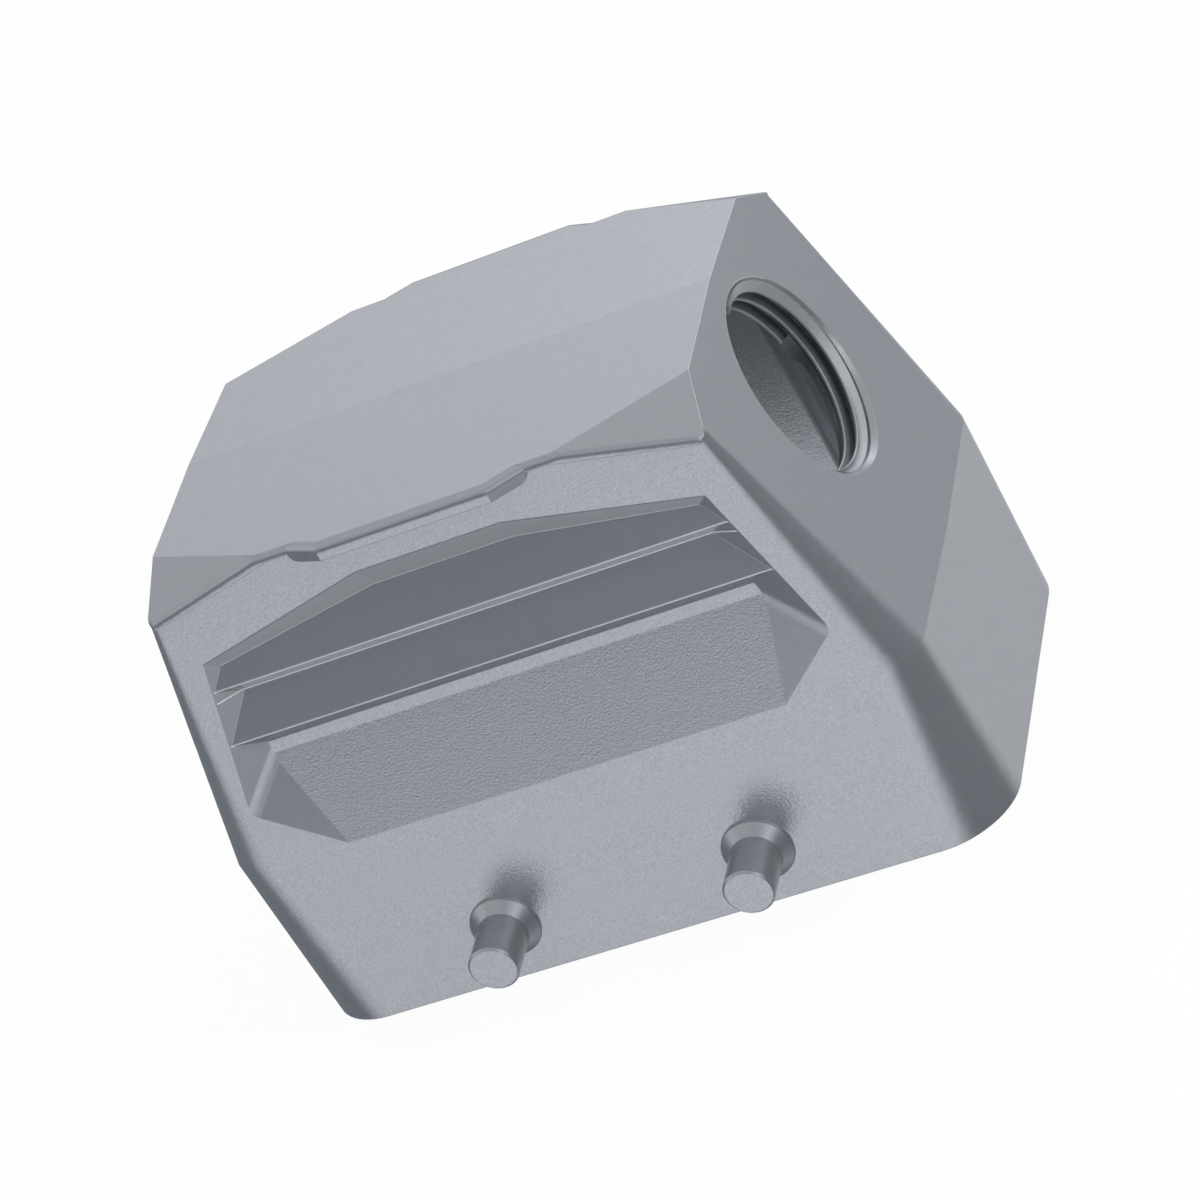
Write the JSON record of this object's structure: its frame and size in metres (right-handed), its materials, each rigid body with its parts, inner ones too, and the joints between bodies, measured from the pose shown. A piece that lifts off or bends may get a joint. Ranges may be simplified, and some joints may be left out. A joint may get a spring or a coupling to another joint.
{
  "type": "heavy-duty connector hood",
  "caption": "Die-cast hood for a heavy-duty rectangular connector, with a threaded side cable entry, locking pegs and a louvred grip panel.",
  "frame": {"origin": "middle of the mouth, on the rim plane that the hood stands on", "axes": "+Z from the rim up to the roof, +X along the hood towards the cable entry, -Y towards the front"},
  "size_m": [0.073, 0.0564, 0.0518],
  "materials": {
    "coated_casting": "satin grey powder coat"
  },
  "bodies": {
    "root": {"hood_casting": "coated_casting", "peg_front_left": "coated_casting", "peg_front_right": "coated_casting", "peg_rear_left": "coated_casting", "peg_rear_right": "coated_casting"}
  },
  "joints": []
}
